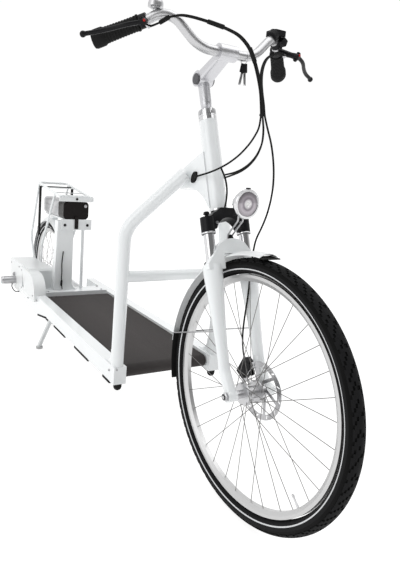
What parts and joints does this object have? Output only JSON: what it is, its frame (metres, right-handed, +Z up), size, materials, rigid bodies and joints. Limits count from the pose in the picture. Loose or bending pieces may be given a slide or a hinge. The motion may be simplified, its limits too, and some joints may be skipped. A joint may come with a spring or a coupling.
{
  "type": "treadmill bicycle",
  "caption": "Treadmill bicycle: the rider walks on an endless belt between a steered front wheel and a driven rear wheel with a rack over its battery.",
  "frame": {"origin": "on the ground, midway between the ends of the vehicle, in its middle plane", "axes": "+X forwards, +Y to the rider's left, +Z up"},
  "size_m": [2.493, 0.782, 1.3485],
  "materials": {
    "frame_paint": "gloss cool white enamel",
    "guard_plastic": "gloss white moulding",
    "case_plastic": "gloss white moulding",
    "black_plastic": "satin black",
    "light_rubber": "matte light grey",
    "battery_face": "gloss black-brown",
    "black_rubber": "matte",
    "tyre_rubber": "matte, treaded",
    "belt_rubber": "matte, fine texture",
    "satin_aluminium": "satin silver",
    "rim_aluminium": "satin light silver",
    "chrome": "bright",
    "steel": "bright brushed",
    "black_metal": "satin black",
    "board_wood": "dark sealed board",
    "lens": "clear"
  },
  "bodies": {
    "frame": {"battery": "satin_aluminium", "battery_cap": "battery_face", "belt": "belt_rubber", "belt_board": "board_wood", "case_cover": "case_plastic", "cradle": "frame_paint", "cross_members": "frame_paint", "cross_tube": "frame_paint", "drive_case": "case_plastic", "grommets": "black_rubber", "head_tube": "frame_paint", "headset_cups": "chrome", "left_stay_plate": "frame_paint", "neck": "frame_paint", "rack": "frame_paint", "rack_stays": "frame_paint", "rails": "frame_paint", "rear_axle": "steel", "rear_guard": "guard_plastic", "rear_peg": "steel", "rear_posts": "frame_paint", "rollers": "steel", "rubber_pads": "black_rubber", "side_tubes": "frame_paint"},
    "steering": {"bell": "chrome", "brake_caliper": "black_metal", "brake_hose": "black_rubber", "brake_levers": "black_metal", "display": "black_plastic", "fork_crown": "black_metal", "fork_legs": "frame_paint", "fork_stanchions": "chrome", "front_axle": "steel", "front_guard": "guard_plastic", "front_guard_flaps": "black_rubber", "front_guard_stays": "steel", "grips": "black_rubber", "handlebar": "satin_aluminium", "headlamp": "chrome", "headlamp_bracket": "steel", "headlamp_lens": "lens", "lamp_wire": "black_rubber", "lever_cables": "black_rubber", "steering_cables": "black_rubber", "stem": "satin_aluminium"},
    "front_wheel": {"brake_disc": "steel", "front_hub": "satin_aluminium", "front_rim": "rim_aluminium", "front_spokes": "steel", "front_tyre": "tyre_rubber"},
    "rear_wheel": {"rear_hub": "satin_aluminium", "rear_rim": "rim_aluminium", "rear_spokes": "steel", "rear_tyre": "tyre_rubber"},
    "stand": {"stand_feet": "light_rubber", "stand_legs": "frame_paint"}
  },
  "joints": [
    {"name": "steering_turn", "type": "hinge", "parent": "frame", "child": "steering", "pos_m": [0.84542, 0, 0.34661], "axis": [-0.3665, 0, 0.9304], "range_deg": [-55, 55], "deforming": ["steering_cables"]},
    {"name": "front_wheel_spin", "type": "hinge", "parent": "steering", "child": "front_wheel", "pos_m": [0.8845, 0, 0.362], "axis": [0, 1, 0], "continuous": true},
    {"name": "rear_wheel_spin", "type": "hinge", "parent": "frame", "child": "rear_wheel", "pos_m": [-0.9235, 0, 0.299], "axis": [0, 1, 0], "continuous": true},
    {"name": "stand_swing", "type": "hinge", "parent": "frame", "child": "stand", "pos_m": [-0.5635, 0, 0.152], "axis": [0, 1, 0], "range_deg": [0, 105]}
  ]
}
